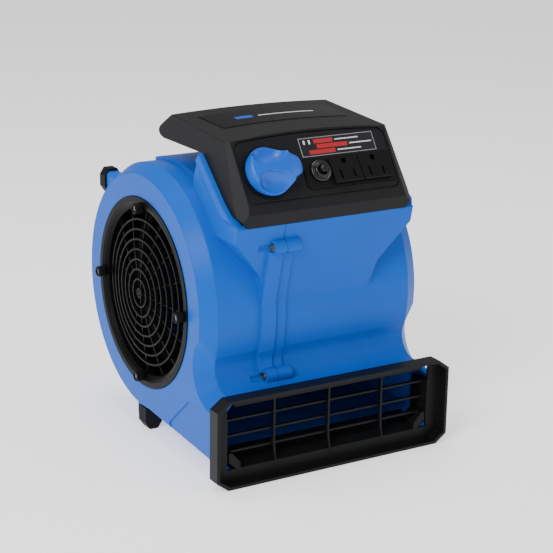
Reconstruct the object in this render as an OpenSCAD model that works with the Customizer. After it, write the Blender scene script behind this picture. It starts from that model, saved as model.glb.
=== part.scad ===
// Air mover: a snail shaped carpet dryer blower with a carrying handle and a sloped control panel.
// X runs across the outlet, the outlet mouth faces -Y and Z is up.
// The origin is the middle of the rectangle that the machine stands on.

/* [Overall] */
// Distance from the outlet mouth to the rear rest pads
depth = 262; // [258:1:270]
// Half the width across the flat side faces
half_w = 105.8; // [104.5:0.1:107]
// Thickness of the moulded housing walls
wall = 2.8; // [2.4:0.1:3.2]

/* [Drum] */
// Distance of the fan axle behind the outlet mouth
axle_y = 147.7; // [146.5:0.1:149]
// Height of the fan axle above the floor
axle_z = 126.6; // [126:0.1:127.5]
// Radius of the round drum
drum_r = 111.5; // [110.5:0.1:112]
// Radius of the flat side face, inside its bevel
face_r = 103.3; // [102.5:0.1:104]
// Half width at which the bevel starts
bevel_x = 93; // [91:0.5:95]
// Where the left and right halves meet
seam_x = -40; // [-42:0.5:-38]

/* [Outlet] */
// Width of the black outlet ring
ring_w = 226.8; // [226:0.1:230]
// Height of the outlet ring
ring_h = 76.2; // [75:0.1:78]
// Depth of the outlet ring in front of the housing
ring_d = 12.6; // [12:0.1:13.5]
// Corner cut of the ring, across
ring_cut_x = 10.7; // [9:0.1:12]
// Corner cut of the ring, upright
ring_cut_z = 7.8; // [7:0.1:9]
// Thickness of the ring
ring_t = 2.6; // [2.2:0.1:3]
// Number of level bars in the outlet
level_bars = 4; // [3:1:4]
// Number of upright bars in the outlet
upright_bars = 3; // [2:1:4]

/* [Inlet] */
// Outer radius of the inlet ring
inlet_r = 83.4; // [82.5:0.1:84]
// Inner radius of the inlet ring
inlet_in_r = 73.5; // [73:0.1:74.5]
// Number of round wires in the inlet grille
wires = 8; // [6:1:8]
// Number of spokes in the inlet grille
spokes = 16; // [8:4:16]
// Radius of the posts that stand on the inlet ring
post_r = 4.75; // [4.5:0.05:5]
// Circle on which the posts stand
post_circle_r = 75; // [74.5:0.5:76]
// How far the posts stand out from the side face
post_h = 7.6; // [7:0.1:7.6]

/* [Fan] */
// Outer radius of the fan wheel
fan_r = 76; // [74:0.5:78]
// Half the length of the fan wheel
fan_half = 64; // [60:1:66]
// Number of blades
blades = 36; // [24:1:40]
// Radius of the motor shell
motor_r = 42; // [40:1:44]
// Radius of the motor shaft
shaft_r = 4; // [4:0.5:5]

/* [Control unit] */
// Slope of the control panel from level
panel_a = 56; // [55:0.5:57]
// Radius of the speed knob
knob_r = 20.5; // [20:0.5:22]
// Height of the speed knob
knob_h = 16; // [15:0.5:18]
// Distance between the two blade slots of an outlet socket
blade_gap = 12.7; // [12.7:0.1:12.8]

/* [Hidden] */
$fn = 96;
eps = 0.01;

blue = "#3f7fc8";
black = "#35373a";
rubber = "#232426";
steel = "#b9bcc0";
brass = "#c8a24c";

// The neck is the hollow between the drum and the top of the outlet duct.
neck_y = 24;
neck_z = 90;
neck_r = 18;
flare_r = 32;
flare_k = (flare_r - neck_r) / (half_w - bevel_x);
bevel_k = (drum_r - face_r) / (half_w - bevel_x);
lip_z = neck_z - neck_r;
// The duct floor leaves the drum almost on a tangent and falls towards the outlet. It starts just
// inside the drum, so that the two surfaces cross.
floor_a = 3.2;
floor_r = drum_r - 0.4;
tan_y = axle_y - floor_r * sin(floor_a);
tan_z = axle_z - floor_r * cos(floor_a);

// The saddle carries the control unit on a plane that rises to the rear.
saddle_y = 21.5;
saddle_z = 209;
saddle_a = 36;
saddle_end_y = 88;
handle_z = saddle_z + (saddle_end_y - saddle_y) * tan(saddle_a);
top_z = 282;
panel_y = 25;
panel_z = 228.5;

panel_t = 2;
cover_z = handle_z + 6.7;
cover_t = 2;
cover_screw_x = [-60, 60];
cover_screw_y = [100, 148];

// Places on the panel, across and up its slope
knob_at = [-48.5, 23.5];
button_at = [0, 19.5];
socket_at = [[23.4, 18], [51.6, 18]];
label_at = [24, 41];

boss_r = 6;
boss_x = [-50, -26];
front_bosses = [[24, 190], [34.7, 77.4]];
rear_boss_a = [32, -38];
rear_bosses = [for (a = rear_boss_a) [axle_y + (drum_r + 3) * cos(a), axle_z + (drum_r + 3) * sin(a)]];
bosses = concat(front_bosses, rear_bosses);
post_angles = [0, 90, 180, 270];
post_seat = 0.6;

cord_at = [60, 150];
capacitor_at = [73, 223.5];
capacitor_r = 8;
arm_angles = [45, 165, 285];
arm_hole_r = 78.6;
cone_bend = 10;
cone_flange_x = fan_half + 3 + cone_bend;
motor_x = [22, 82];
cap_t = 6;
bracket_x = motor_x[1] + cap_t;
bearing_r = 11;
bearing_t = 7;
fan_in_r = fan_r - 13;
run_gap = 0.03;
shaft_d_r = 3;
shaft_flat = 1.6;

// ---- helpers ----

// Everything is drawn from the outlet mouth and then moved to the origin.
module place() { translate([0, -depth / 2, 0]) children(); }

// A (y, z) outline drawn out along X
module along_x(x0, x1) { translate([x0, 0, 0]) rotate([90, 0, 90]) linear_extrude(x1 - x0) children(); }

// An (x, z) outline drawn out along Y
module along_y(y0, y1) { translate([0, y1, 0]) rotate([90, 0, 0]) linear_extrude(y1 - y0) children(); }

// Children drawn round the axle: their Z axis lies along X
module on_axle(x = 0) { translate([x, axle_y, axle_z]) rotate([0, 90, 0]) children(); }

// Children drawn on the panel: x across, y up the slope, z out of it
module on_panel(at = [0, 0]) {
    translate([0, panel_y, panel_z]) rotate([panel_a, 0, 0]) translate([at[0], at[1], 0]) children();
}

module both_sides() {
    children();
    mirror([1, 0, 0]) children();
}

module tube(r, hole, h) {
    difference() {
        cylinder(r = r, h = h);
        translate([0, 0, -1]) cylinder(r = hole, h = h + 2);
    }
}

function cut_corners(w, z0, z1, cx, cz) = [[-w, z0 + cz], [-w + cx, z0], [w - cx, z0], [w, z0 + cz],
    [w, z1 - cz], [w - cx, z1], [-w + cx, z1], [-w, z1 - cz]];

// ---- housing ----

module drum(g) {
    on_axle() rotate_extrude() polygon([[0, g - half_w], [face_r - g, g - half_w],
        [drum_r - g, 0.3 * g - bevel_x], [drum_r - g, bevel_x - 0.3 * g],
        [face_r - g, half_w - g], [0, half_w - g]]);
}

// Round cut that forms the neck and flares towards both sides
module neck_cut(g) {
    over = 5;
    b = bevel_x - 0.3 * g;
    r1 = neck_r + g + (half_w + over - b) * flare_k;
    translate([0, neck_y, neck_z]) rotate([0, 90, 0]) rotate_extrude()
        polygon([[0, -half_w - over], [r1, -half_w - over], [neck_r + g, -b],
            [neck_r + g, b], [r1, half_w + over], [0, half_w + over]]);
}

// Outlet duct with bevelled long edges, made smaller all round by g
module duct(g, y0) {
    w = half_w - g;
    b = bevel_x - 0.3 * g;
    // the lower bevel starts a little further in than the drum's, so that four faces never share a point
    floor_b = b - 0.6;
    over = 3;
    difference() {
        along_x(-w, w) polygon([[y0, tan_z - (tan_y - y0) * tan(floor_a) + g], [y0, lip_z - g],
            [neck_y, lip_z - g], [neck_y + neck_r, neck_z + 1], [axle_y, axle_z], [tan_y, tan_z + g]]);
        both_sides() {
            along_y(y0 - 1, neck_y) polygon([[b, lip_z - g], [w + over,
                lip_z - g - (w + over - b) * flare_k],
                [w + over, lip_z + 40], [b, lip_z + 40]]);
            translate([0, tan_y, tan_z]) rotate([floor_a, 0, 0]) along_y(-depth, 20)
                polygon([[floor_b, g - 5], [floor_b, g], [w + over, g + (w + over - floor_b) * bevel_k],
                    [w + over, g - 5]]);
        }
    }
}

module air_body(g, y0) {
    difference() {
        union() {
            drum(g);
            duct(g, y0);
        }
        neck_cut(g);
    }
}

// Pedestal between the drum and the control unit
module saddle() {
    lean_y = 37.5;
    lean_z = 138;
    intersection() {
        along_x(-84, 84) polygon([[lean_y, lean_z], [saddle_y, saddle_z], [saddle_end_y, handle_z],
            [saddle_end_y + 5, handle_z], [saddle_end_y + 11, 238], [saddle_end_y + 11, 190], [70, 150]]);
        along_y(0, depth) polygon([[-79, 262], [-84, 222], [-84, 196], [-57, 164], [-49, 130], [49, 130],
            [57, 164], [84, 196], [84, 222], [79, 262]]);
    }
}

// Rim of the saddle, which stands out past the control unit
module saddle_rim() {
    rim_t = 8;
    run = (saddle_end_y - saddle_y) / cos(saddle_a);
    intersection() {
        translate([0, saddle_y, saddle_z]) rotate([saddle_a, 0, 0]) translate([-88, 0, -rim_t])
            cube([176, run, rim_t]);
        along_y(0, depth) polygon([[-74, 200], [-87.5, 214], [-87.5, 224], [-82, 270], [82, 270],
            [87.5, 224], [87.5, 214], [74, 200]]);
    }
}

// Low hump of the drum under the handle
module saddle_hump() {
    hump_r = drum_r + 3;
    intersection() {
        on_axle(-76) cylinder(r = hump_r, h = 152);
        translate([-76, 80, 190]) cube([152, 100, 60]);
    }
}

module saddle_cavity() {
    difference() {
        intersection() {
            along_x(-79, 79) polygon([[42, 140], [saddle_y + wall + 1, saddle_z - 2],
                [saddle_y + wall + 1, handle_z + 9], [saddle_end_y - 1, handle_z + 9],
                    [saddle_end_y - 1, 180]]);
            along_y(0, depth) polygon([[-79, 290], [-79, 200], [-52, 167], [-46, 145], [46, 145],
                [52, 167],
                [79, 200], [79, 290]]);
        }
        on_axle(-half_w) cylinder(r = drum_r, h = 2 * half_w);
    }
}

// Raised band along the joint of the two halves, on the front
module seam_band(x0, x1, h) {
    intersection() {
        translate([x0, 0, front_bosses[1][1]]) cube([x1 - x0, 80,
            front_bosses[0][1] - front_bosses[1][1]]);
        difference() {
            union() {
                on_axle(x0) cylinder(r = drum_r + h, h = x1 - x0);
                along_x(x0, x1) polygon([[neck_y, lip_z], [neck_y + neck_r - h, neck_z + 4], [60,
                    100], [60, 72]]);
                along_x(x0, x1) polygon([[37.5 - h, 138], [saddle_y - h, saddle_z], [60, 209], [60,
                    150]]);
            }
            translate([x0 - 1, neck_y, neck_z]) rotate([0, 90, 0]) cylinder(r = neck_r - h,
                h = x1 - x0 + 2);
        }
    }
}

module boss_rods(r, x0, x1) {
    for (b = bosses) translate([x0, b[0], b[1]]) rotate([0, 90, 0]) cylinder(r = r, h = x1 - x0);
}

module foot_stubs() {
    both_sides() {
        translate([-83, 0, 201]) along_y(215, depth - 11) polygon(cut_corners(6.5, -9, 9, 2.5, 3));
        translate([-101, 160, 9]) cube([10, 7, 20]);
    }
}

// Shallow panel on the side of the duct
module side_panel_cut() {
    both_sides() along_x(half_w - 1, half_w + 1)
        polygon([[ring_d - 1, 19], [34, 16.5], [94, 19], [98, 25], [64, 55], [31, 57.5], [ring_d - 1,
            56]]);
}

module housing_solid() {
    difference() {
        union() {
            air_body(0, ring_d);
            saddle();
            saddle_rim();
            saddle_hump();
            seam_band(-54, seam_x, 3);
            seam_band(seam_x, -30, 1.5);
            boss_rods(boss_r, boss_x[0], boss_x[1]);
            foot_stubs();
        }
        air_body(wall, ring_d - 5);
        saddle_cavity();
        side_panel_cut();
        on_axle(-half_w - 1) cylinder(r = inlet_r - 4.4, h = 2 * half_w + 2);
        both_sides() on_axle(-half_w - 1) cylinder(r = inlet_r + 0.2, h = 2.5);
        boss_rods(2.1, boss_x[0] - 1, boss_x[1] - 3);
        // recesses for the screw heads
        boss_rods(3.2, boss_x[0] - 12, boss_x[0]);
        translate([cord_at[0], depth - 50, cord_at[1]]) rotate([-90, 0, 0]) cylinder(r = 6, h = 60);
    }
}

module housing_left() color(blue) place() difference() {
    housing_solid();
    translate([seam_x, -10, -10]) cube([300, 400, 400]);
}

module housing_right() color(blue) place() difference() {
    housing_solid();
    translate([seam_x - 300, -10, -10]) cube([300, 400, 400]);
}

module housing_screws() color(brass) place() for (b = bosses) translate([boss_x[0], b[0], b[1]])
    rotate([0, 90, 0]) union() {
        translate([0, 0, -1.6]) difference() {
            cylinder(r = 3, h = 1.6);
            for (a = [0, 90]) rotate([0, 0, a]) translate([-2, -0.4, -1]) cube([4, 0.8, 1.8]);
        }
        cylinder(r = 2, h = 20);
    }

module rest_pad(w, z0, z1, d) {
    along_y(0, d) polygon(cut_corners(w, z0, z1, 4, 6));
}

module upper_feet() color(rubber) place() both_sides()
    translate([-83, depth - 11, 201]) rest_pad(8.2, -11.2, 11.2, 11);

// Feet in front of the stubs, cut along the bevel of the drum
module lower_feet() color(rubber) place() both_sides() along_y(146, 160)
    polygon([[-100, 0], [-92, 0], [-88, 6], [-88, 14], [-94, 14], [-104, 20.5], [-104, 6]]);

// ---- outlet ----

bar_x = [for (i = [1:upright_bars]) -half_w + i * 2 * half_w / (upright_bars + 1)];
bar_z = [for (i = [0:level_bars - 1]) 26 + i * 13.7];

module outlet_grille() color(black) place() {
    w = ring_w / 2;
    in_x = half_w - wall - 0.3;
    inner_x = 92;
    back = 38;
    difference() {
        along_y(0, ring_d) polygon(cut_corners(w, 0, ring_h, ring_cut_x, ring_cut_z));
        along_y(-1, ring_d - 2.4) polygon(cut_corners(w - ring_t, ring_t, ring_h - ring_t,
            ring_cut_x - 1, ring_cut_z - 1));
        translate([-99, 0, 13]) cube([198, ring_d + 5, 57]);
    }
    // sloped floor and side walls that guide the air
    along_x(-inner_x, inner_x) polygon([[ring_d - 2.4, 6], [ring_d - 2.4, 13], [back, 21], [back, 18.5],
        [ring_d, 11.4], [ring_d, 6]]);
    both_sides() {
        translate([0, 0, 18]) linear_extrude(38) polygon([[98.5, ring_d - 2.4], [95.5, back - 8],
            [97.5, back - 8], [in_x - 0.4, ring_d], [in_x + 4, ring_d], [in_x + 4, ring_d - 2.4]]);
        along_y(ring_d - 2.4, 28) polygon([[97, 19], [97, 27], [94, 27], [86, 18], [86, 12.8], [90,
            12.8]]);
    }
    for (i = [0:level_bars - 1]) let(w = bar_z[i] > 60 ? inner_x : 99.5)
        translate([-w, 16, bar_z[i] - 0.9]) cube([2 * w, 3, 1.8]);
    for (x = bar_x) along_x(x - 0.9, x + 0.9) polygon([[13, 68.6], [13, 28], [12, 20], [9.8, 13.5],
        [9.8, 9], [12.2, 9], [14.6, 19], [16.2, 28], [16.2, 68.6]]);
    // top rail that the upright bars end in
    translate([-inner_x, ring_d - 2.4, 66.8]) cube([2 * inner_x, 2.4, 3.4]);
    translate([-inner_x, ring_d - 0.1, 66.8]) cube([2 * inner_x, 3.7, 2]);
}

// ---- inlets, drawn for the left side and mirrored ----

function dome(r) = 3 - 7 * pow(r / inlet_in_r, 2);

// Outline of a spoke that follows the dome behind the round wires, from radius r0 out to the ring
function spoke_line(r0) = let(rs = [for (i = [0:6]) r0 + (inlet_in_r + 0.8 - r0) * i / 6])
    concat([for (r = rs) [r, 1.4 - dome(r)]], [for (i = [6:-1:0]) [rs[i], 3 - dome(rs[i])]]);

module inlet_grille() {
    wire_r = [for (i = [0:wires - 1]) 3.7 + 8.53 * i];
    union() {
        on_axle(-half_w) rotate_extrude() polygon([[inlet_r, -0.8], [inlet_r, 1.4], [inlet_r - 5, 1.4],
            [inlet_r - 5, 9], [inlet_in_r - 0.5, 9], [inlet_in_r - 0.5, 3], [inlet_r - 8, 0.4],
                [inlet_r - 5, -0.8]]);
        for (r = wire_r) on_axle(-half_w) rotate_extrude()
            translate([r - 0.8, -dome(r)]) square([1.6, 2.6]);
        for (i = [0:spokes - 1]) on_axle(-half_w) rotate([0, 0, i * 360 / spokes]) rotate([90, 0, 0])
            translate([0, 0, -0.6]) linear_extrude(1.2) polygon(spoke_line(i % 4 == 0 ? 1 : 19));
        on_axle(-half_w) translate([0, 0, -dome(0)]) cylinder(r = 2, h = 4.5);
        for (a = post_angles) on_axle(-half_w) rotate([0, 0, a]) translate([post_circle_r, 0, 0.6])
            cylinder(r = post_r - 0.9, h = 7);
    }
}

module drilled_grille() {
    difference() {
        inlet_grille();
        for (a = post_angles) on_axle(-half_w - 5) rotate([0, 0, a]) translate([post_circle_r, 0, 0])
            cylinder(r = 1.6, h = 30);
        // seats for the posts
        for (a = post_angles) on_axle(-half_w - 5) rotate([0, 0, a]) translate([post_circle_r, 0, 0])
            cylinder(r = post_r + 0.1, h = 5 + post_seat + eps);
    }
}

module grille_posts() {
    for (a = post_angles) on_axle(-half_w - post_h) rotate([0, 0, a]) translate([post_circle_r, 0, 0])
        difference() {
            union() {
                cylinder(r = post_r - 0.6, h = 1);
                translate([0, 0, 1]) cylinder(r = post_r, h = post_h - 1 + post_seat);
            }
            translate([0, 0, -1]) cylinder(r = 2.6, h = 4);
            translate([0, 0, -1]) cylinder(r = 1.6, h = post_h + 4);
        }
}

module grille_screws() {
    for (a = post_angles) on_axle(-half_w - post_h + 1.2) rotate([0, 0, a]) translate([post_circle_r,
        0, 0]) {
        difference() {
            cylinder(r = 2.4, h = 1.8);
            for (b = [0, 90]) rotate([0, 0, b]) translate([-1.6, -0.3, -1]) cube([3.2, 0.6, 2]);
        }
        translate([0, 0, 1.4]) cylinder(r = 1.5, h = 18.6);
    }
}

// Bell mouth that leads the air into the fan wheel
module inlet_cone() {
    throat_r = fan_in_r + 2;
    flange_r = inlet_r - 5;
    x_in = half_w - wall - fan_half - 3;
    bend = cone_bend;
    steps = 6;
    t = 2;
    outer = [for (i = [0:steps]) [throat_r + bend * (1 - cos(90 * i / steps)),
        x_in - bend * sin(90 * i / steps)]];
    inner = [for (i = [steps:-1:0]) [throat_r + t + (bend - t) * (1 - cos(90 * i / steps)),
        x_in - (bend - t) * sin(90 * i / steps)]];
    difference() {
        union() {
            on_axle(-half_w + wall) rotate_extrude() polygon(concat(outer, [[flange_r + 7, x_in - bend],
                [flange_r + 7, x_in - bend + t]], inner));
            on_axle(-half_w + wall) rotate_extrude() polygon([[flange_r + 4, eps], [flange_r + 7, eps],
                [flange_r + 7, x_in - bend + t], [flange_r + 4, x_in - bend + t]]);
            for (a = post_angles) on_axle(-half_w + 9.4) rotate([0, 0, a]) translate([post_circle_r,
                0, 0])
                cylinder(r = post_r, h = 20);
        }
        for (a = post_angles) on_axle(-half_w) rotate([0, 0, a]) translate([post_circle_r, 0, 0])
            cylinder(r = 1.6, h = 24);
        // holes for the motor bracket, in both cones because they are one moulding
        for (a = arm_angles) on_axle(-half_w) rotate([0, 0, a]) translate([arm_hole_r, 0, 20])
            cylinder(r = 1.7, h = 20);
    }
}

module inlet_grille_left() color(black) place() drilled_grille();
module inlet_grille_right() color(black) place() mirror([1, 0, 0]) drilled_grille();
module grille_posts_left() color(rubber) place() grille_posts();
module grille_posts_right() color(rubber) place() mirror([1, 0, 0]) grille_posts();
module grille_screws_left() color(steel) place() grille_screws();
module grille_screws_right() color(steel) place() mirror([1, 0, 0]) grille_screws();
module inlet_cone_left() color(black) place() inlet_cone();
module inlet_cone_right() color(black) place() mirror([1, 0, 0]) inlet_cone();

// ---- control unit ----

arch_r = 850;
arch_a = 4;
arch_y = 143;

// Everything under the gently arched top of the control unit
module arch_body(drop) {
    translate([0, arch_y, top_z - drop]) rotate([-90 + arch_a, 0, 0]) translate([0, arch_r, -200])
        cylinder(r = arch_r, h = 260, $fn = 360);
}

function unit_outline(g) = [[-72.3 + g, 205 + g], [-83 + g, 218], [-83 + g, 226], [-76.5 + g, 280],
    [-76.5 + g, 290],
    [76.5 - g, 290], [76.5 - g, 280], [83 - g, 226], [83 - g, 218], [72.3 - g, 205 + g]];

module control_block() {
    slope_end = 62;
    tip_y = 168;
    difference() {
        intersection() {
            along_x(-90, 90) polygon([[saddle_y, saddle_z], [19.6, 219.8], [22.4, 226.2],
                [panel_y, panel_z + 1.4], [panel_y + slope_end * cos(panel_a),
                    panel_z + 1.4 + slope_end * sin(panel_a)],
                [68, 290], [arch_y, 290], [arch_y, top_z], [tip_y - 8, 271], [tip_y - 1, 266],
                    [tip_y + 0.4, 263],
                [tip_y - 1, 260.4], [tip_y - 4, 258.6], [tip_y - 10, handle_z], [saddle_end_y,
                    handle_z]]);
            along_y(0, depth) polygon(unit_outline(0));
            arch_body(0);
        }
        // bevels beside the panel
        both_sides() on_panel() translate([0, 60, 0]) rotate([90, 0, 0]) linear_extrude(90)
            polygon([[73, 1.4], [86, -9], [95, -9], [95, 12], [73, 12]]);
    }
}

module panel_shape(g) {
    rise = 55;
    side = 47;
    polygon(concat([[-72 + g, 2 + g], [-68 + g, -1.5 + g], [68 - g, -1.5 + g], [72 - g, 2 + g],
        [72 - g, side]],
        [for (i = [0:8]) let(x = 67.5 * (1 - i / 4)) [x * (72 - g) / 72,
            rise - g - 3.2 * pow(x / 67.5, 2)]],
        [[-72 + g, side]]));
}

module control_housing() color(black) place() difference() {
    control_block();
    // hollow inside, open towards the saddle and the handle cover
    intersection() {
        along_x(-90, 90) polygon([[saddle_y + 3, saddle_z - 2], [22.6, 220], [25.6, 226.6],
            [panel_y + 2.8, panel_z - 3.4], [panel_y + 2.8 + 58 * cos(panel_a),
                panel_z - 3.4 + 58 * sin(panel_a)],
            [75, 290], [arch_y - 2, 290], [arch_y - 2, top_z - 4], [158, 267.5], [163, 262.6],
            [158, handle_z - 1], [saddle_end_y - 1, handle_z - 1]]);
        along_y(0, depth) polygon(unit_outline(3));
        arch_body(3.2);
        on_panel() translate([-73, -40, -200]) cube([146, 300, 200 - panel_t - 1.6]);
    }
    // seat of the panel and the ledge behind it
    on_panel() translate([0, 0, -panel_t]) linear_extrude(20) panel_shape(0);
    on_panel() translate([0, 0, -12]) linear_extrude(20) panel_shape(2.5);
}

// Roof of the hand hole, with a wall that closes it towards the electrics
module handle_cover() color(black) place() {
    in_w = 73;
    y0 = saddle_end_y + 0.2;
    difference() {
        union() {
            along_x(-in_w, in_w) polygon([[y0, cover_z], [y0, cover_z + cover_t], [159.2,
                cover_z + cover_t],
                [160.8, cover_z]]);
            along_x(-in_w, in_w) polygon([[y0, handle_z + 0.1], [y0 + 2, handle_z + 0.1], [y0 + 2,
                cover_z + 1],
                [y0, cover_z + 1]]);
            for (x = [-45, -15, 15, 45]) translate([x - 1, 100, cover_z + 1]) cube([2, 45, 7]);
        }
        for (x = cover_screw_x, y = cover_screw_y) translate([x, y, cover_z - 1]) cylinder(r = 1.7,
            h = 8);
    }
}

module control_panel() color(black) place() on_panel() difference() {
    translate([0, 0, -panel_t]) linear_extrude(panel_t) panel_shape(0.5);
    translate([knob_at[0], knob_at[1], -5]) cylinder(r = 6, h = 10);
    translate([button_at[0], button_at[1], -5]) cylinder(r = 6.6, h = 10);
    for (s = socket_at) translate([s[0] - 12.2, s[1] - 10, -5]) cube([24.4, 20, 10]);
}

// Raised field round the button and the sockets
module outlet_panel() color(black) place() on_panel() {
    corner = 5;
    x0 = -15;
    x1 = 69;
    y0 = 4.6;
    y1 = 31;
    difference() {
        union() {
            translate([x0 + corner, y0, 0]) cube([x1 - x0 - corner, y1 - y0, 1]);
            translate([x0, y0 + corner, 0]) cube([corner + 1, y1 - y0 - corner, 1]);
            translate([x0 + corner, y0 + corner, 0]) cylinder(r = corner, h = 1);
        }
        translate([button_at[0], button_at[1], -1]) cylinder(r = 6.6, h = 4);
        for (s = socket_at) translate([s[0] - 12.2, s[1] - 10, -1]) cube([24.4, 20, 4]);
    }
}

// Face of a three hole outlet socket, thicker at its lower edge
module receptacle(at) {
    w = 13.6;
    slot_y = -4.4;
    ground_y = slot_y + 11.9;
    on_panel(at) difference() {
        union() {
            translate([-w, 0, 0]) rotate([90, 0, 90]) linear_extrude(2 * w)
                polygon([[-11, 1], [11, 1], [11, 2.6], [-10.2, 4.6], [-11, 4]]);
            translate([-12, -9.8, -6]) cube([24, 19.6, 8]);
        }
        for (s = [-1, 1]) translate([s * blade_gap / 2 - 0.95, slot_y - 3.6 - (s < 0 ? 0.5 : 0), -4])
            cube([1.9, s < 0 ? 8.2 : 7.2, 12]);
        translate([0, ground_y, -4]) cylinder(r = 2.5, h = 12);
        translate([-2.5, ground_y, -4]) cube([5, 2, 12]);
    }
}

module receptacle_left() color(black) place() receptacle(socket_at[0]);
module receptacle_right() color(black) place() receptacle(socket_at[1]);

module receptacle_bodies() color("#d8d4c8") place() for (s = socket_at) on_panel(s) {
    translate([-12, -9.8, -22]) cube([24, 19.6, 15.9]);
    for (x = [-6.35, 6.35]) translate([x - 2, -4, -30]) cube([4, 0.8, 8.1]);
}

module breaker_collar() color(black) place() on_panel(button_at) rotate_extrude()
    polygon([[4, 1], [9.4, 1], [9.4, 2.4], [8.6, 3.4], [7, 3.6], [6.8, 5.2], [5.6, 6.2], [4, 6.2]]);

module breaker_body() color("#2a2a2c") place() on_panel(button_at) {
    difference() {
        translate([0, 0, -7]) cylinder(r = 6.3, h = 7.9);
        translate([0, 0, -6]) cylinder(r = 3.9, h = 8);
    }
    translate([-7.5, -6, -30]) cube([15, 12, 23.1]);
    for (x = [-5, 5]) translate([x - 0.4, -3, -38]) cube([0.8, 6, 8.1]);
}

module reset_button() color("#1c1c1e") place() on_panel(button_at) translate([0, 0, -3]) union() {
    cylinder(r = 3.4, h = 11);
    translate([0, 0, 11]) cylinder(r1 = 3.4, r2 = 2.8, h = 0.8);
}

// Plate behind the knob with a raised mark for each switch place
module dial_ring() color(black) place() on_panel(knob_at) difference() {
    union() {
        cylinder(r = knob_r + 1.8, h = 1);
        for (a = [0, 90, 180, 270]) rotate([0, 0, a]) translate([knob_r + 0.6, -0.6, 0]) cube([1,
            1.2, 1.4]);
    }
    translate([0, 0, -1]) cylinder(r = 5, h = 4);
}

module rotary_switch() color("#2a2a2c") place() on_panel(knob_at) {
    difference() {
        union() {
            translate([-14, -14, -22]) cube([28, 28, 19.2]);
            translate([0, 0, -3]) cylinder(r = 4.8, h = 3.6);
        }
        translate([0, 0, -18]) cylinder(r = shaft_d_r + run_gap, h = 30);
    }
    for (a = [45, 135, 225, 315]) rotate([0, 0, a]) translate([-0.4, 9, -28]) cube([0.8, 6, 6.1]);
}

module switch_shaft() color(steel) place() on_panel(knob_at) difference() {
    translate([0, 0, -17]) cylinder(r = shaft_d_r, h = 30);
    translate([shaft_flat, -4, 2]) cube([4, 8, 20]);
}

// Round knob with a grip bar between two scoops and a pointer nose
module speed_knob() color(blue) place() on_panel(knob_at) {
    base = 1.5;
    scoop_r = 12;
    grip_half = 4;
    difference() {
        union() {
            translate([0, 0, base]) cylinder(r = knob_r, h = 5);
            translate([0, 0, base + 5]) cylinder(r1 = knob_r, r2 = knob_r - 2.2, h = knob_h - 8.5);
            translate([0, 0, knob_h - 2]) cylinder(r1 = knob_r - 2.2, r2 = knob_r - 4.5, h = 2);
            translate([0, 0, 3.2]) linear_extrude(knob_h - 4.7) polygon([[8, -11], [8, 11], [18, 9.8],
                [26, 6.5], [27.5, 4], [27.5, -4], [26, -6.5], [18, -9.8]]);
        }
        for (s = [-1, 1]) translate([-4, s * (grip_half + scoop_r), knob_h + 2]) {
            rotate([0, 90, 0]) cylinder(r = scoop_r, h = 9);
            for (x = [0, 9]) translate([x, 0, 0]) sphere(r = scoop_r);
        }
        difference() {
            translate([0, 0, -1]) cylinder(r = shaft_d_r + 0.02, h = knob_h - 1.5);
            translate([shaft_flat + 0.04, -4, 3]) cube([4, 8, 20]);
        }
        difference() {
            cylinder(r = knob_r - 3, h = 4);
            translate([0, 0, -1]) cylinder(r = 6, h = 6);
        }
    }
}

module panel_label() color("#17171a") place() on_panel(label_at)
    translate([-36, -8.3, 0]) cube([72, 16.6, 0.4]);

module handle_label() color("#101013") place() intersection() {
    difference() {
        arch_body(-0.4);
        arch_body(0);
    }
    translate([0, 0, 265]) linear_extrude(30) polygon([[-59.6, 88], [59.6, 88], [62.3, 128], [-62.3,
        128]]);
}

module panel_screws() color(steel) place() for (x = cover_screw_x, y = cover_screw_y) translate([x,
    y, cover_z - 0.8]) {
    cylinder(r = 3, h = 0.8);
    cylinder(r = 1.6, h = 7);
}

// ---- motor and fan ----

module motor_shell() color(steel) place() on_axle(motor_x[0]) difference() {
    tube(motor_r, motor_r - 2, motor_x[1] - motor_x[0]);
    for (i = [0:7]) rotate([0, 0, i * 45]) translate([motor_r - 5, -3, 14]) cube([10, 6, 32]);
}

module motor_stator() color("#8a6a3a") place() on_axle(motor_x[0] + 12) difference() {
    cylinder(r = motor_r - 2, h = 36);
    translate([0, 0, -1]) cylinder(r = 23, h = 38);
    for (i = [0:11]) rotate([0, 0, i * 30]) translate([22, -1.5, -1]) cube([9, 3, 38]);
}

module motor_cap(bearing_side) {
    difference() {
        union() {
            cylinder(r = motor_r, h = cap_t);
            translate([0, 0, bearing_side > 0 ? 0 : -4]) cylinder(r = bearing_r + 4, h = cap_t + 4);
        }
        translate([0, 0, bearing_side > 0 ? cap_t + 4 - bearing_t : -5]) cylinder(r = bearing_r,
            h = bearing_t + 1);
        translate([0, 0, -10]) cylinder(r = shaft_r + 1.5, h = 40);
        for (i = [0:5]) rotate([0, 0, i * 60 + 30]) translate([28, 0, -1]) cylinder(r = 5, h = cap_t + 2);
    }
}

module motor_cap_inner() color(steel) place() on_axle(motor_x[0] - cap_t) motor_cap(-1);
module motor_cap_outer() color(steel) place() on_axle(motor_x[1]) motor_cap(1);

module bearing_inner() color("#cfd2d6") place()
    on_axle(motor_x[0] - cap_t - 4) tube(bearing_r, shaft_r + run_gap, bearing_t - 1);

module bearing_outer() color("#cfd2d6") place()
    on_axle(motor_x[1] + cap_t + 4 - bearing_t) tube(bearing_r, shaft_r + run_gap, bearing_t);

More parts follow.
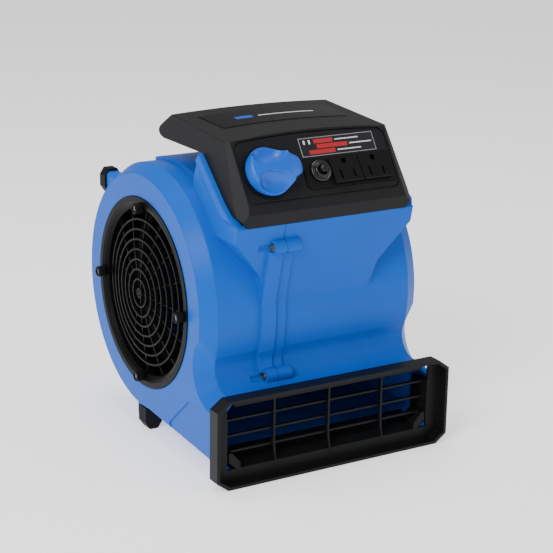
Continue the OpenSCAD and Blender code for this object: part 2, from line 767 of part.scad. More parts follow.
// Three arms carry the motor on the flange of the right inlet cone
module motor_bracket() color("#7d8084") place() on_axle(bracket_x) difference() {
    foot_h = bracket_x - cone_flange_x - eps;
    union() {
        tube(34, 16, 3);
        for (a = arm_angles) rotate([0, 0, a]) {
            translate([30, -7, 0]) cube([51, 14, 3]);
            translate([arm_hole_r, 0, -foot_h]) cylinder(r = 3.3, h = foot_h + 1);
        }
    }
    for (a = arm_angles) rotate([0, 0, a]) {
        translate([arm_hole_r, 0, -20]) cylinder(r = 1.7, h = 30);
        translate([24, 0, -1]) cylinder(r = 2.1, h = 10);
    }
}

module bracket_screws() color(steel) place() on_axle(bracket_x) for (a = arm_angles) rotate([0, 0, a]) {
    translate([24, 0, 3]) cylinder(r = 3.6, h = 2.4);
    translate([24, 0, 0.1]) cylinder(r = 2, h = 3);
    translate([arm_hole_r, 0, 3]) cylinder(r = 2.9, h = 2);
    translate([arm_hole_r, 0, -15]) cylinder(r = 1.5, h = 18.5);
}

module motor_shaft() color(steel) place() on_axle(-14) difference() {
    cylinder(r = shaft_r, h = motor_x[1] + 26);
    translate([shaft_r - 0.8, -5, -1]) cube([5, 10, 24]);
}

module motor_rotor() color("#9b9da1") place() on_axle(motor_x[0] + 12) difference() {
    cylinder(r = 22.5, h = 36);
    translate([0, 0, -1]) cylinder(r = shaft_r, h = 38);
}

module fan_disc() color("#2b2c2f") place() on_axle(-12) difference() {
    union() {
        cylinder(r = 12, h = 18);
        translate([0, 0, 11]) cylinder(r = fan_r, h = 2);
    }
    difference() {
        translate([0, 0, -1]) cylinder(r = shaft_r, h = 30);
        translate([shaft_r - 0.8, -5, -4]) cube([5, 10, 26]);
    }
    translate([0, 0, 5]) rotate([0, 90, 0]) cylinder(r = 2, h = 20);
    for (i = [0:5]) rotate([0, 0, i * 60]) translate([38, 0, 5]) cylinder(r = 8, h = 10);
}

module fan_set_screw() color(steel) place() on_axle(-7) translate([shaft_r - 0.8, 0, 0])
    rotate([0, 90, 0]) cylinder(r = 2, h = 7);

// One curved blade between the inner and the outer radius
function blade_line(t) = [fan_in_r + t * (fan_r - 0.6 - fan_in_r), 9 * (1 - sqrt(1 - pow(0.92 * t, 2)))];

module blade() {
    steps = 5;
    thick = 1.2;
    lead = [for (i = [0:steps]) blade_line(i / steps)];
    trail = [for (i = [steps:-1:0]) blade_line(i / steps) + [0, thick]];
    polygon(concat(lead, trail));
}

module fan_blades() color("#2b2c2f") place() for (side = [-1, 1])
    on_axle(side < 0 ? -fan_half + 2 : 1) linear_extrude(fan_half - 3) for (i = [0:blades - 1])
        rotate(i * 360 / blades) blade();

module fan_rings() color("#2b2c2f") place() for (x = [-fan_half, fan_half - 2])
    on_axle(x) tube(fan_r, fan_in_r, 2);

// ---- electrics in the saddle ----

module capacitor() color("#b5b8bc") place() translate([12, capacitor_at[0], capacitor_at[1]])
    rotate([0, 90, 0]) {
    cylinder(r = capacitor_r, h = 42);
    for (s = [-1, 1]) translate([s * 3 - 0.4, -2.5, 41.9]) cube([0.8, 5, 7]);
}

// Clip with a foot on the rear wall of the saddle
module capacitor_clip() color(steel) place() translate([28, capacitor_at[0], capacitor_at[1]])
    rotate([0, 90, 0]) difference() {
        union() {
            cylinder(r = capacitor_r + 1.4, h = 10);
            translate([-8, capacitor_r, 0]) cube([8,
                saddle_end_y - 1.02 - capacitor_at[0] - capacitor_r, 10]);
        }
        translate([0, 0, -1]) cylinder(r = capacitor_r, h = 12);
    }

// Bushing for the mains cord
module cord_gland() color(rubber) place() translate([cord_at[0], 0, cord_at[1]]) rotate([-90, 0, 0])
    difference() {
    union() {
        translate([0, 0, 250]) cylinder(r = 5.9, h = 9);
        translate([0, 0, 258.4]) cylinder(r = 9.5, h = 1.6);
        translate([0, 0, 259.9]) cylinder(r1 = 7.5, r2 = 6, h = depth - 259.9);
    }
    translate([0, 0, 240]) cylinder(r = 3.8, h = 40);
}

housing_left();
housing_right();
outlet_grille();
inlet_grille_left();
inlet_grille_right();
grille_posts_left();
grille_posts_right();
grille_screws_left();
grille_screws_right();
inlet_cone_left();
inlet_cone_right();
upper_feet();
lower_feet();
control_housing();
handle_cover();
control_panel();
outlet_panel();
receptacle_left();
receptacle_right();
receptacle_bodies();
breaker_collar();
breaker_body();
reset_button();
dial_ring();
rotary_switch();
switch_shaft();
speed_knob();
panel_label();
handle_label();
panel_screws();
housing_screws();
motor_shell();
motor_cap_inner();
motor_cap_outer();
motor_stator();
motor_bracket();
bracket_screws();
bearing_inner();
bearing_outer();
motor_shaft();
motor_rotor();
fan_disc();
fan_blades();
fan_rings();
fan_set_screw();
capacitor();
capacitor_clip();
cord_gland();
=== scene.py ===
"""Looks of the air mover: sculpted knob, reset button, rubber posts, finishes and the studio.

Every length is in metres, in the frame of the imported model. The base of the machine is at z = 0
and the outlet faces -Y.
"""

import math

import bmesh
import bpy
import numpy as np
from bpy.props import FloatProperty, FloatVectorProperty, PointerProperty
from mathutils import Matrix, Vector


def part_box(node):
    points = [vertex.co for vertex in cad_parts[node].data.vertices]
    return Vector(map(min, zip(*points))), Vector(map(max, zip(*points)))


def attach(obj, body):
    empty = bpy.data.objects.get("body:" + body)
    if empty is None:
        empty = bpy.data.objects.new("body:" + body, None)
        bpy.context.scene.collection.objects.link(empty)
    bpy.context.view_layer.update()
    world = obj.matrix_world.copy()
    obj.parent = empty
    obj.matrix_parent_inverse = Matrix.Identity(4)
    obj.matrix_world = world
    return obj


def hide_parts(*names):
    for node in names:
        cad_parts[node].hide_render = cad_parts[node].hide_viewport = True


bl_info = {
    "name": "Air Mover",
    "version": (1, 0, 0),
    "blender": (4, 5, 0),
    "location": "3D View > Sidebar > Air Mover",
    "description": "Builds the looks of an air mover round its fixed frame",
    "category": "Object",
}

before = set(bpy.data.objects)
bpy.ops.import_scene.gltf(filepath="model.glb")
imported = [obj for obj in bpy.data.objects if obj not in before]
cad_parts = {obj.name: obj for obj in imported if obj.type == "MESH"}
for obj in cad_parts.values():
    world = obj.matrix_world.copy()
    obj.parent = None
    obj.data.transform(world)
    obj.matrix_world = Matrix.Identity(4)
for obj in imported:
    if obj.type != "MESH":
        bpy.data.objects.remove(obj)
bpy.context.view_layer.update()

MM = 0.001
DEPTH = 262 * MM
PANEL_ANGLE = math.radians(56)
PANEL_FOOT = np.array([0.0, 25 * MM - DEPTH / 2, 228.5 * MM])
PANEL_ACROSS = np.array([1.0, 0.0, 0.0])
PANEL_UP = np.array([0.0, math.cos(PANEL_ANGLE), math.sin(PANEL_ANGLE)])
PANEL_OUT = np.array([0.0, -math.sin(PANEL_ANGLE), math.cos(PANEL_ANGLE)])
KNOB_PLACE = (-48.5 * MM, 23.5 * MM)
BUTTON_PLACE = (0.0, 19.5 * MM)
LABEL_PLACE = (24 * MM, 41 * MM)
AXLE = np.array([0.0, 147.7 * MM - DEPTH / 2, 126.6 * MM])
POST_CIRCLE = 75 * MM
SEAM_X = -40 * MM

CROWN_DROP = 2.0 * MM
CROWN_RADIUS = 20.5 * MM
SCOOP_SPREAD = 0.24
SCOOP_RISE = 0.6 * MM
NOSE_WIDTH = 0.38
KNOB_FOOT = 1.5 * MM

FLOOR_HALF = 6.0
FLOOR_DROP = 0.4 * MM
WORLD_STRENGTH = 0.5
LIGHTS = {
    "key": ((-1.5, -0.9, 1.4), 0.9, 38),
    "fill": ((1.6, -1.0, 0.8), 0.8, 7),
    "top": ((-0.1, 0.3, 1.9), 0.8, 16),
}
LIGHT_TARGET = (0, 0, 0.13)
CAMERA_PLACE = (-0.6731, -1.1338, 0.5291)
CAMERA_RIGHT = (0.86745, -0.49743, 0.00979)
CAMERA_UP = (0.13489, 0.25408, 0.95773)
CAMERA_BACK = (-0.47890, -0.82946, 0.28749)


# ---- sizes and colours that a user would change ----


class AirMoverSizes(bpy.types.PropertyGroup):
    """Sizes of the sculpted pieces"""

    knob_radius: FloatProperty(
        name="Knob radius",
        description="Outer radius of the speed knob",
        default=20.5 * MM,
        unit="LENGTH",
        precision=4,
    )
    knob_height: FloatProperty(
        name="Knob height",
        description="Height of the grip bar above the panel",
        default=16 * MM,
        unit="LENGTH",
        precision=4,
    )
    knob_nose: FloatProperty(
        name="Knob nose",
        description="How far the pointer stands past the rim",
        default=7 * MM,
        unit="LENGTH",
        precision=4,
    )
    scoop_radius: FloatProperty(
        name="Scoop radius",
        description="Radius of the finger scoops",
        default=12 * MM,
        unit="LENGTH",
        precision=4,
    )
    grain: FloatProperty(
        name="Grain size",
        description="Size of the moulded grain",
        default=0.55 * MM,
        unit="LENGTH",
        precision=5,
    )
    edge: FloatProperty(
        name="Edge radius",
        description="Rounding of the moulded edges",
        default=0.9 * MM,
        unit="LENGTH",
        precision=5,
    )


class AirMoverColours(bpy.types.PropertyGroup):
    """Colours of the finishes"""

    blue: FloatVectorProperty(
        name="Housing blue",
        description="Colour of the drum and duct",
        default=(0.002, 0.092, 0.490),
        subtype="COLOR",
        min=0,
        max=1,
    )
    knob_blue: FloatVectorProperty(
        name="Knob blue",
        description="Colour of the speed knob",
        default=(0.002, 0.095, 0.540),
        subtype="COLOR",
        min=0,
        max=1,
    )
    black: FloatVectorProperty(
        name="Black plastic",
        description="Colour of the control unit and grilles",
        default=(0.0060, 0.0062, 0.0068),
        subtype="COLOR",
        min=0,
        max=1,
    )
    rubber: FloatVectorProperty(
        name="Rubber",
        description="Colour of the feet and posts",
        default=(0.0035, 0.0035, 0.004),
        subtype="COLOR",
        min=0,
        max=1,
    )
    warning: FloatVectorProperty(
        name="Warning red",
        description="Colour of the bars on the label",
        default=(0.36, 0.008, 0.014),
        subtype="COLOR",
        min=0,
        max=1,
    )


# ---- surfaces ----


def grid_faces(rows, columns, close_rows=False):
    """Quads of a grid whose columns wrap round: corner (i, j) is vertex i * columns + j."""
    last = rows if close_rows else rows - 1
    i, j = np.meshgrid(np.arange(last), np.arange(columns), indexing="ij")
    i, j = i.ravel(), j.ravel()
    below, beside = (i + 1) % rows, (j + 1) % columns
    corners = (i * columns + j, i * columns + beside, below * columns + beside, below * columns + j)
    return np.stack(corners, axis=1)


def surface(name, points, faces, body):
    """A smooth piece from points and quads: doubles at its poles are merged and its faces turned outwards."""
    mesh = bpy.data.meshes.new(name)
    mesh.from_pydata(points.tolist(), [], faces.tolist())
    shape = bmesh.new()
    shape.from_mesh(mesh)
    bmesh.ops.remove_doubles(shape, verts=shape.verts, dist=1e-7)
    bmesh.ops.dissolve_degenerate(shape, edges=shape.edges, dist=1e-8)
    bmesh.ops.recalc_face_normals(shape, faces=shape.faces)
    shape.to_mesh(mesh)
    shape.free()
    mesh.polygons.foreach_set("use_smooth", np.ones(len(mesh.polygons), dtype=bool))
    mesh.update()
    piece = bpy.data.objects.new(name, mesh)
    bpy.context.scene.collection.objects.link(piece)
    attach(piece, body)
    return piece


def on_panel(across, up, out):
    """Panel coordinates to the frame: the foot of the panel plus across, up the slope and out of it."""
    return (
        PANEL_FOOT
        + np.asarray(across)[..., None] * PANEL_ACROSS
        + np.asarray(up)[..., None] * PANEL_UP
        + np.asarray(out)[..., None] * PANEL_OUT
    )


def softened(profile, passes=3, closed=False):
    """Corner cutting: each pass swaps every corner for two points a quarter of the way along its edges."""
    points = np.asarray(profile, dtype=float)
    for _ in range(passes):
        after = np.roll(points, -1, axis=0) if closed else points[1:]
        before = points if closed else points[:-1]
        cut = np.stack([0.75 * before + 0.25 * after, 0.25 * before + 0.75 * after], axis=1).reshape(-1, 2)
        points = cut if closed else np.vstack([points[:1], cut, points[-1:]])
    return points


def turned(profile, columns, to_frame):
    """A profile (r, h) carried round its axis: point(h, t) = (r cos t, r sin t, h), sent to the frame."""
    t = np.linspace(0, 2 * math.pi, columns, endpoint=False)
    r, h = profile[:, :1], profile[:, 1:]
    return to_frame(r * np.cos(t), r * np.sin(t), h + 0 * t).reshape(-1, 3)


def knob_top(x, y, height, scoop):
    """Height of the knob's top: a low crown, and a trough on each side of the grip.

    A trough's height is its centre less the root of (radius squared - distance to its line squared). The
    lines spread towards the nose, so the grip widens that way. The crown and the troughs join by a smooth
    minimum, which rounds the edges of the grip.
    """
    crown = height - CROWN_DROP * (np.hypot(x, y) / CROWN_RADIUS) ** 3
    centre_y = 3.6 * MM + scoop
    off_end = np.clip(np.abs(x - 0.5 * MM) - 5.5 * MM, 0, None)
    reach = np.hypot(off_end, np.abs(y) - centre_y - SCOOP_SPREAD * x)
    inside = np.clip(scoop**2 - reach**2, 0, None)
    past = np.clip(reach - scoop, 0, None)
    trough = height + SCOOP_RISE - np.sqrt(inside) + 6 * past
    blend = 0.8 * MM
    mix = np.clip(0.5 + 0.5 * (trough - crown) / blend, 0, 1)
    return trough * (1 - mix) + crown * mix - blend * mix * (1 - mix)


# ---- shader maths ----


class Value:
    """A socket whose arithmetic adds Math nodes."""

    def __init__(self, finish, socket):
        self.finish = finish
        self.socket = socket

    def _math(self, operation, first, second=0.0):
        return self.finish.node("ShaderNodeMath", {"operation": operation}, {0: first, 1: second})

    def __add__(self, other):
        return self._math("ADD", self, other)

    __radd__ = __add__

    def __sub__(self, other):
        return self._math("SUBTRACT", self, other)

    def __rsub__(self, other):
        return self._math("SUBTRACT", other, self)

    def __mul__(self, other):
        return self._math("MULTIPLY", self, other)

    __rmul__ = __mul__

    def __abs__(self):
        return self._math("ABSOLUTE", self)

    def __gt__(self, other):
        return self._math("GREATER_THAN", self, other)

    def __lt__(self, other):
        return self._math("LESS_THAN", self, other)

    def between(self, low, high):
        """1 inside the range and 0 outside it"""
        return (self > low) * (self < high)


class Finish:
    """A material under construction"""

    def __init__(self, name):
        self.material = bpy.data.materials.new(name)
        self.material.use_nodes = True
        self.tree = self.material.node_tree
        self.shader = self.tree.nodes["Principled BSDF"]
        self.place = self.node("ShaderNodeTexCoord", {}, {}, "Object")
        self.x = self.node("ShaderNodeSeparateXYZ", {}, {0: self.place}, "X")
        self.y = self.node("ShaderNodeSeparateXYZ", {}, {0: self.place}, "Y")
        self.z = self.node("ShaderNodeSeparateXYZ", {}, {0: self.place}, "Z")

    def node(self, kind, settings, inputs, output=0):
        """Adds a node: its settings come first, then the values or links of its sockets."""
        made = self.tree.nodes.new(kind)
        for key, value in settings.items():
            setattr(made, key, value)
        for key, value in inputs.items():
            if isinstance(value, Value):
                self.tree.links.new(value.socket, made.inputs[key])
            else:
                made.inputs[key].default_value = value
        return Value(self, made.outputs[output])

    def noise(self, size, detail=3.0):
        inputs = {"Vector": self.place, "Scale": 1 / size, "Detail": detail}
        return self.node("ShaderNodeTexNoise", {}, inputs, "Fac")

    def mix(self, mask, first, second):
        """Blends two colours, each a plain colour or a Value"""
        pair = [c if isinstance(c, Value) else (*c[:3], 1.0) for c in (first, second)]
        return self.node("ShaderNodeMix", {"data_type": "RGBA"}, {0: mask, 6: pair[0], 7: pair[1]}, 2)

    def feed(self, name, value):
        if isinstance(value, Value):
            self.tree.links.new(value.socket, self.shader.inputs[name])
        else:
            self.shader.inputs[name].default_value = value

    def relief(self, height, depth, edge):
        """Bumps of the given depth over edges rounded to the given radius"""
        rounded = self.node("ShaderNodeBevel", {"samples": 4}, {"Radius": edge}, "Normal")
        bumps = {"Strength": 1.0, "Distance": depth, "Height": height, "Normal": rounded}
        self.feed("Normal", self.node("ShaderNodeBump", {}, bumps))


def shade_of(colour, factor):
    return tuple(min(1.0, c * factor) for c in colour)


def plastic(name, colour, rough, grain, depth, edge, seam=False, gloss=0.5):
    """Moulded plastic: a fine grain, slow drifts of tone and gloss, and a dark parting line if asked for"""
    finish = Finish(name)
    drift = finish.noise(60 * MM, 2.0)
    fine = finish.noise(grain, 4.0)
    tone = finish.mix(drift, shade_of(colour, 0.92), shade_of(colour, 1.08))
    tone = finish.mix(fine * 0.25, tone, shade_of(colour, 0.7))
    if seam:
        line = abs(finish.x - SEAM_X) < 0.22 * MM
        tone = finish.mix(line * 0.75, tone, shade_of(colour, 0.25))
    finish.feed("Base Color", tone)
    finish.feed("Roughness", rough - 0.06 + drift * 0.08 + fine * 0.06)
    finish.feed("Specular IOR Level", gloss)
    finish.relief(fine, depth, edge)
    return finish.material


def metal(name, colour, rough, streak):
    """Plated or drawn metal: streaks along X and faint tarnish"""
    finish = Finish(name)
    stretched = finish.node("ShaderNodeMapping", {}, {"Vector": finish.place, "Scale": (0.08, 1.0, 1.0)})
    inputs = {"Vector": stretched, "Scale": 1 / streak, "Detail": 3.0}
    lines = finish.node("ShaderNodeTexNoise", {}, inputs, "Fac")
    tarnish = finish.noise(9 * MM)
    finish.feed("Base Color", finish.mix(tarnish * 0.5, colour, shade_of(colour, 0.62)))
    finish.feed("Metallic", 1.0)
    finish.feed("Roughness", rough + lines * 0.14)
    finish.relief(lines, 0.02 * MM, 0.2 * MM)
    return finish.material


def warning_print(colours):
    """Dark plate with a pale border, three red bars, plain pale lines and a small socket sign"""
    finish = Finish("warning_plate")
    u = finish.x - LABEL_PLACE[0]
    slope_y = (finish.y - float(PANEL_FOOT[1])) * math.cos(PANEL_ANGLE)
    v = slope_y + (finish.z - float(PANEL_FOOT[2])) * math.sin(PANEL_ANGLE) - LABEL_PLACE[1]
    worn = finish.noise(0.8 * MM)
    tone = finish.mix(worn * 0.4, (0.003, 0.003, 0.006), (0.008, 0.008, 0.012))
    border = (abs(u) > 35.3 * MM) + (abs(v) > 7.6 * MM)
    tone = finish.mix((border > 0.5) * 0.6, tone, (0.30, 0.30, 0.31))
    for middle, start, end in ((4.6, -22, -3.5), (0.0, -20, 9.5), (-4.6, -28.5, -3.5)):
        row = v.between((middle - 1.8) * MM, (middle + 1.8) * MM)
        tone = finish.mix(row * u.between(start * MM, end * MM), tone, tuple(colours.warning))
        words = v.between((middle - 0.55) * MM, (middle + 0.55) * MM)
        words = words * u.between((end + 2) * MM, min(end + 25, 33) * MM)
        tone = finish.mix(words * 0.85, tone, (0.62, 0.62, 0.63))
    for left in (-32, -27):
        blade = u.between(left * MM, (left + 1.6) * MM) * v.between(2.6 * MM, 6 * MM)
        tone = finish.mix(blade, tone, (0.7, 0.7, 0.7))
    finish.feed("Base Color", tone)
    finish.feed("Roughness", 0.28 + worn * 0.1)
    finish.relief(worn, 0.01 * MM, 0.1 * MM)
    return finish.material


def handle_print():
    """Glossy black plate with one plain blue bar and one plain pale bar"""
    finish = Finish("handle_plate")
    smear = finish.noise(14 * MM)
    middle = 108 * MM - DEPTH / 2
    row = (finish.y - middle).between(-3.2 * MM, 3.2 * MM)
    thin = (finish.y - middle).between(-1.0 * MM, 1.0 * MM)
    tone = finish.mix(smear * 0.4, (0.0015, 0.0015, 0.002), (0.004, 0.004, 0.005))
    tone = finish.mix(row * finish.x.between(-38 * MM, -22 * MM), tone, (0.008, 0.08, 0.45))
    tone = finish.mix(thin * finish.x.between(-16 * MM, 38 * MM), tone, (0.62, 0.62, 0.64))
    finish.feed("Base Color", tone)
    finish.feed("Roughness", 0.16 + smear * 0.12)
    finish.feed("Specular IOR Level", 0.03)
    finish.relief(smear, 0.01 * MM, 0.3 * MM)
    return finish.material


def coat(piece, material):
    piece.data.materials.clear()
    piece.data.materials.append(material)


def settings():
    scene = bpy.context.scene
    return scene.air_mover_sizes, scene.air_mover_colours


def finish_nodes(names, material):
    """Gives CAD nodes a material in every slot that they have"""
    for name in names:
        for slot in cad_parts[name].material_slots:
            slot.material = material


# ---- operators ----


class AIRMOVER_OT_speed_knob(bpy.types.Operator):
    """Sculpts the speed knob with its grip bar, scoops and nose"""

    bl_idname = "airmover.speed_knob"
    bl_label = "Speed Knob"

    def execute(self, context):
        """The side is an upright wall under the rim. The rim's radius is the knob's plus a bell shaped nose:
        rim(t) = radius + nose * exp(-(t / nose width)^4). The top is knob_top over (s rim cos t,
        s rim sin t), where s goes from 1 at the rim to 0 at the middle."""
        sizes, colours = settings()
        t = np.linspace(-math.pi, math.pi, 192, endpoint=False)
        rim = sizes.knob_radius + sizes.knob_nose * np.exp(-((t / NOSE_WIDTH) ** 4))
        base = KNOB_FOOT
        share = np.sin(np.linspace(math.pi / 2, 0, 84))[:, None]
        x, y = share * rim * np.cos(t), share * rim * np.sin(t)
        fall = np.clip((share - 0.9) / 0.1, 0, 1)
        top = knob_top(x, y, sizes.knob_height, sizes.scoop_radius)
        top = top - 1.6 * MM * (1 - np.sqrt(np.clip(1 - fall**2, 0, 1)))
        rise = np.linspace(0, 1, 12, endpoint=False)[:, None]
        flare = 1 - 0.02 * (1 - rise) ** 4
        wall_x, wall_y = flare * rim * np.cos(t), flare * rim * np.sin(t)
        wall_z = base + rise * (top[:1] - base)
        low = np.linspace(0, 0.97, 6)[:, None]
        low_x, low_y = low * rim * np.cos(t), low * rim * np.sin(t)
        x, y = np.vstack([low_x, wall_x, x]), np.vstack([low_y, wall_y, y])
        z = np.vstack([base + 0 * low_x, wall_z, top])
        points = on_panel(KNOB_PLACE[0] + x, KNOB_PLACE[1] + y, z).reshape(-1, 3)
        knob = surface("knob_shell", points, grid_faces(len(x), len(t)), "knob")
        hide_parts("speed_knob")
        blue = plastic(
            "knob_blue", tuple(colours.knob_blue), 0.32, sizes.grain, 0.012 * MM, 0.3 * MM, gloss=0.28
        )
        coat(knob, blue)
        return {"FINISHED"}


class AIRMOVER_OT_reset_button(bpy.types.Operator):
    """Turns the collar of the breaker and its domed button"""

    bl_idname = "airmover.reset_button"
    bl_label = "Reset Button"

    def execute(self, context):
        """Both are softened profiles (r, h) carried round the button's axis."""
        sizes, colours = settings()
        collar = [
            *((4.0, 1.0), (9.4, 1.0), (9.4, 2.3), (8.9, 3.2), (7.6, 3.7)),
            *((7.0, 3.9), (6.9, 5.3), (6.2, 6.1), (4.7, 6.1), (4.0, 5.2)),
        ]
        button = [(0.0, -3.0), (3.4, -3.0), (3.4, 8.0), (2.6, 8.7), (1.9, 8.3), (0.0, 8.2)]

        def to_frame(a, b, h):
            return on_panel(BUTTON_PLACE[0] + a, BUTTON_PLACE[1] + b, h)

        gloss = plastic(
            "button_black", shade_of(tuple(colours.black), 0.6), 0.3, sizes.grain, 0.008 * MM, 0.2 * MM
        )
        for name, node, outline, body, closed in (
            ("collar_boot", "breaker_collar", collar, "housing", True),
            ("button_cap", "reset_button", button, "button", False),
        ):
            profile = softened(np.array(outline) * MM, 3, closed)
            faces = grid_faces(len(profile), 72, closed)
            piece = surface(name, turned(profile, 72, to_frame), faces, body)
            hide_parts(node)
            coat(piece, gloss)
        return {"FINISHED"}


class AIRMOVER_OT_grille_posts(bpy.types.Operator):
    """Turns the rubber posts that stand on both inlet rings"""

    bl_idname = "airmover.grille_posts"
    bl_label = "Grille Posts"

    def execute(self, context):
        """Each post is a softened ring profile (r, h), carried round an axis along X."""
        sizes, colours = settings()
        ring = [
            *((1.6, 8.2), (4.75, 8.2), (4.75, 1.2), (4.55, 0.4)),
            *((3.9, 0.0), (2.9, 0.0), (2.6, 0.4), (2.6, 3.0), (1.6, 3.0)),
        ]
        profile = softened(np.array(ring) * MM, 2, True)
        rubber = plastic(
            "post_rubber", tuple(colours.rubber), 0.6, sizes.grain, 0.02 * MM, 0.3 * MM, gloss=0.15
        )
        for side, sign in (("left", -1), ("right", 1)):
            node = "grille_posts_" + side
            low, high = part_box(node)
            tip = low.x if sign < 0 else high.x
            points, faces = [], []
            for count, angle in enumerate((0, 90, 180, 270)):
                out = POST_CIRCLE * np.array([math.cos(math.radians(angle)), math.sin(math.radians(angle))])

                def to_frame(a, b, h):
                    return np.stack([tip - sign * h, AXLE[1] + out[0] + a, AXLE[2] + out[1] + b], axis=-1)

                points.append(turned(profile, 48, to_frame))
                faces.append(grid_faces(len(profile), 48, True) + count * len(profile) * 48)
            piece = surface("posts_" + side, np.vstack(points), np.vstack(faces), "housing")
            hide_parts(node)
            coat(piece, rubber)
        return {"FINISHED"}


class AIRMOVER_OT_housing(bpy.types.Operator):
    """Finishes the blue housing halves and their brass coloured screws"""

    bl_idname = "airmover.housing"
    bl_label = "Housing"

    def execute(self, context):
        sizes, colours = settings()
        soft_edge = 2 * sizes.edge
        colour = tuple(colours.blue)
        blue = plastic("housing_blue", colour, 0.36, sizes.grain, 0.02 * MM, soft_edge, seam=True, gloss=0.12)
        finish_nodes(("housing_left", "housing_right"), blue)
        finish_nodes(("housing_screws",), metal("brass_plate", (0.55, 0.42, 0.20), 0.25, 0.3 * MM))
        return {"FINISHED"}


class AIRMOVER_OT_control_unit(bpy.types.Operator):
    """Finishes the control unit, its sockets and its labels"""

    bl_idname = "airmover.control_unit"
    bl_label = "Control Unit"

    def execute(self, context):
        sizes, colours = settings()
        black = tuple(colours.black)
        deep = 0.06 * MM
        grained = plastic(
            "grained_black", shade_of(black, 1.5), 0.5, sizes.grain, deep, sizes.edge, gloss=0.14
        )
        handle = plastic(
            "handle_black", shade_of(black, 0.6), 0.42, sizes.grain, deep, sizes.edge, gloss=0.06
        )
        smooth = plastic(
            "socket_black", shade_of(black, 0.8), 0.38, sizes.grain, 0.012 * MM, 0.4 * MM, gloss=0.14
        )
        finish_nodes(("control_housing", "control_panel"), grained)
        finish_nodes(("handle_cover",), handle)
        finish_nodes(("outlet_panel", "receptacle_left", "receptacle_right", "dial_ring"), smooth)
        finish_nodes(("rotary_switch", "breaker_body"), smooth)
        cream = plastic("cream_moulding", (0.60, 0.56, 0.47), 0.5, sizes.grain, 0.02 * MM, 0.3 * MM)
        finish_nodes(("receptacle_bodies",), cream)
        finish_nodes(("panel_label",), warning_print(colours))
        finish_nodes(("handle_label",), handle_print())
        return {"FINISHED"}


class AIRMOVER_OT_grilles(bpy.types.Operator):
    """Finishes the outlet ring, the inlet grilles, the cones and the rubber feet"""

    bl_idname = "airmover.grilles"
    bl_label = "Grilles and Feet"

    def execute(self, context):
        sizes, colours = settings()
        black = tuple(colours.black)
        ring = plastic("ring_black", black, 0.44, sizes.grain, 0.03 * MM, 0.7 * sizes.edge, gloss=0.14)
        bars = plastic(
            "grille_black", shade_of(black, 0.6), 0.42, sizes.grain, 0.015 * MM, 0.3 * MM, gloss=0.07
        )
        rubber = plastic(
            "foot_rubber", tuple(colours.rubber), 0.62, sizes.grain, 0.04 * MM, sizes.edge, gloss=0.15
        )
        finish_nodes(("outlet_grille",), ring)
        finish_nodes(("inlet_grille_left", "inlet_grille_right", "inlet_cone_left", "inlet_cone_right"), bars)
        finish_nodes(("upper_feet", "lower_feet", "cord_gland"), rubber)
        return {"FINISHED"}


class AIRMOVER_OT_drive(bpy.types.Operator):
    """Finishes the motor, the fan wheel, the electrics and the steel fasteners"""

    bl_idname = "airmover.drive"
    bl_label = "Motor and Fan"

    def execute(self, context):
        sizes, colours = settings()
        steel = metal("plated_steel", (0.58, 0.59, 0.61), 0.28, 0.4 * MM)
        zinc = metal("zinc_shell", (0.46, 0.47, 0.49), 0.34, 1.2 * MM)
        core = metal("core_steel", (0.30, 0.27, 0.23), 0.42, 0.5 * MM)
        wheel = plastic(
            "wheel_black", shade_of(tuple(colours.black), 0.6), 0.5, sizes.grain, 0.02 * MM, 0.3 * MM
        )
        fasteners = [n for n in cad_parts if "screw" in n and n != "housing_screws"]
        finish_nodes(fasteners, steel)
        finish_nodes(
            ("bearing_inner", "bearing_outer", "motor_shaft", "switch_shaft", "capacitor_clip"), steel
        )
        finish_nodes(
            ("motor_shell", "motor_cap_inner", "motor_cap_outer", "motor_bracket", "capacitor"), zinc
        )
        finish_nodes(("motor_stator", "motor_rotor"), core)
        finish_nodes(("fan_disc", "fan_blades", "fan_rings"), wheel)
        return {"FINISHED"}


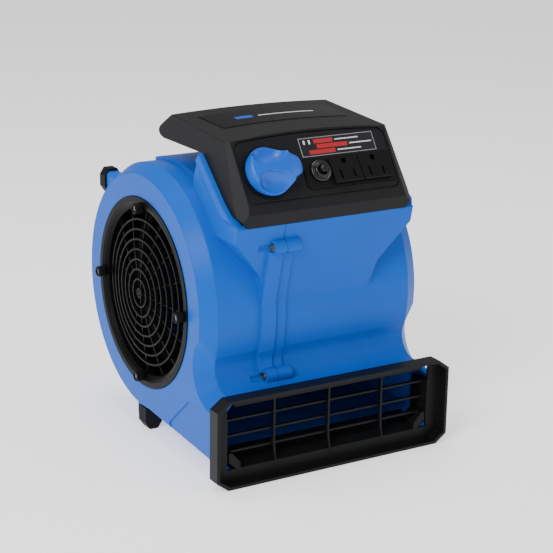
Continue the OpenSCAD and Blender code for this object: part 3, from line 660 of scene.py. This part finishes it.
class AIRMOVER_OT_stage(bpy.types.Operator):
    """Sets the floor, the soft lights and the camera"""

    bl_idname = "airmover.stage"
    bl_label = "Stage"

    def execute(self, context):
        """The floor is a flat grid: point(u, v) = (6 u, 6 v, -0.4 mm) for u and v from -1 to 1."""
        u, v = np.meshgrid(*[np.linspace(-FLOOR_HALF, FLOOR_HALF, 9)] * 2, indexing="ij")
        points = np.stack([u, v, 0 * u - FLOOR_DROP], axis=-1).reshape(-1, 3)
        i, j = (a.ravel() for a in np.meshgrid(np.arange(8), np.arange(8), indexing="ij"))
        faces = np.stack([i * 9 + j, (i + 1) * 9 + j, (i + 1) * 9 + j + 1, i * 9 + j + 1], axis=1)
        mesh = bpy.data.meshes.new("floor")
        mesh.from_pydata(points.tolist(), [], faces.tolist())
        floor = bpy.data.objects.new("floor", mesh)
        context.scene.collection.objects.link(floor)
        pale = Finish("pale_floor")
        pale.feed("Base Color", (0.93, 0.93, 0.93, 1.0))
        pale.feed("Roughness", 0.9)
        pale.feed("Emission Color", (1.0, 1.0, 1.0, 1.0))
        pale.feed("Emission Strength", 0.7)
        coat(floor, pale.material)

        world = bpy.data.worlds.new("studio")
        context.scene.world = world
        world.use_nodes = True
        world.node_tree.nodes["Background"].inputs["Color"].default_value = (1, 1, 1, 1)
        world.node_tree.nodes["Background"].inputs["Strength"].default_value = WORLD_STRENGTH
        for name, (place, size, power) in LIGHTS.items():
            light = bpy.data.lights.new(name, "AREA")
            light.size = size
            light.energy = power
            lamp = bpy.data.objects.new(name, light)
            lamp.location = place
            lamp.rotation_euler = (Vector(LIGHT_TARGET) - Vector(place)).to_track_quat("-Z", "Y").to_euler()
            context.scene.collection.objects.link(lamp)

        lens = bpy.data.cameras.new("camera")
        lens.sensor_width = 36
        lens.lens = 101.9
        lens.shift_x = 0.0655
        lens.shift_y = -0.0059
        camera = bpy.data.objects.new("camera", lens)
        turn = Matrix((CAMERA_RIGHT, CAMERA_UP, CAMERA_BACK)).transposed().to_4x4()
        camera.matrix_world = Matrix.Translation(CAMERA_PLACE) @ turn
        context.scene.collection.objects.link(camera)
        context.scene.camera = camera
        return {"FINISHED"}


OPERATORS = (
    AIRMOVER_OT_stage,
    AIRMOVER_OT_speed_knob,
    AIRMOVER_OT_reset_button,
    AIRMOVER_OT_grille_posts,
    AIRMOVER_OT_housing,
    AIRMOVER_OT_control_unit,
    AIRMOVER_OT_grilles,
    AIRMOVER_OT_drive,
)


class AIRMOVER_PT_panel(bpy.types.Panel):
    """Lists the pieces of the air mover"""

    bl_idname = "AIRMOVER_PT_panel"
    bl_label = "Air Mover"
    bl_space_type = "VIEW_3D"
    bl_region_type = "UI"
    bl_category = "Air Mover"

    def draw(self, context):
        for group in (context.scene.air_mover_sizes, context.scene.air_mover_colours):
            for name in group.__annotations__:
                self.layout.prop(group, name)
        for operator in OPERATORS:
            self.layout.operator(operator.bl_idname)


CLASSES = (AirMoverSizes, AirMoverColours, *OPERATORS, AIRMOVER_PT_panel)


def register():
    for entry in CLASSES:
        bpy.utils.register_class(entry)
    bpy.types.Scene.air_mover_sizes = PointerProperty(type=AirMoverSizes)
    bpy.types.Scene.air_mover_colours = PointerProperty(type=AirMoverColours)


def unregister():
    del bpy.types.Scene.air_mover_colours
    del bpy.types.Scene.air_mover_sizes
    for entry in reversed(CLASSES):
        bpy.utils.unregister_class(entry)


def main():
    register()
    for operator in OPERATORS:
        group, name = operator.bl_idname.split(".")
        getattr(getattr(bpy.ops, group), name)()


if __name__ == "__main__":
    main()
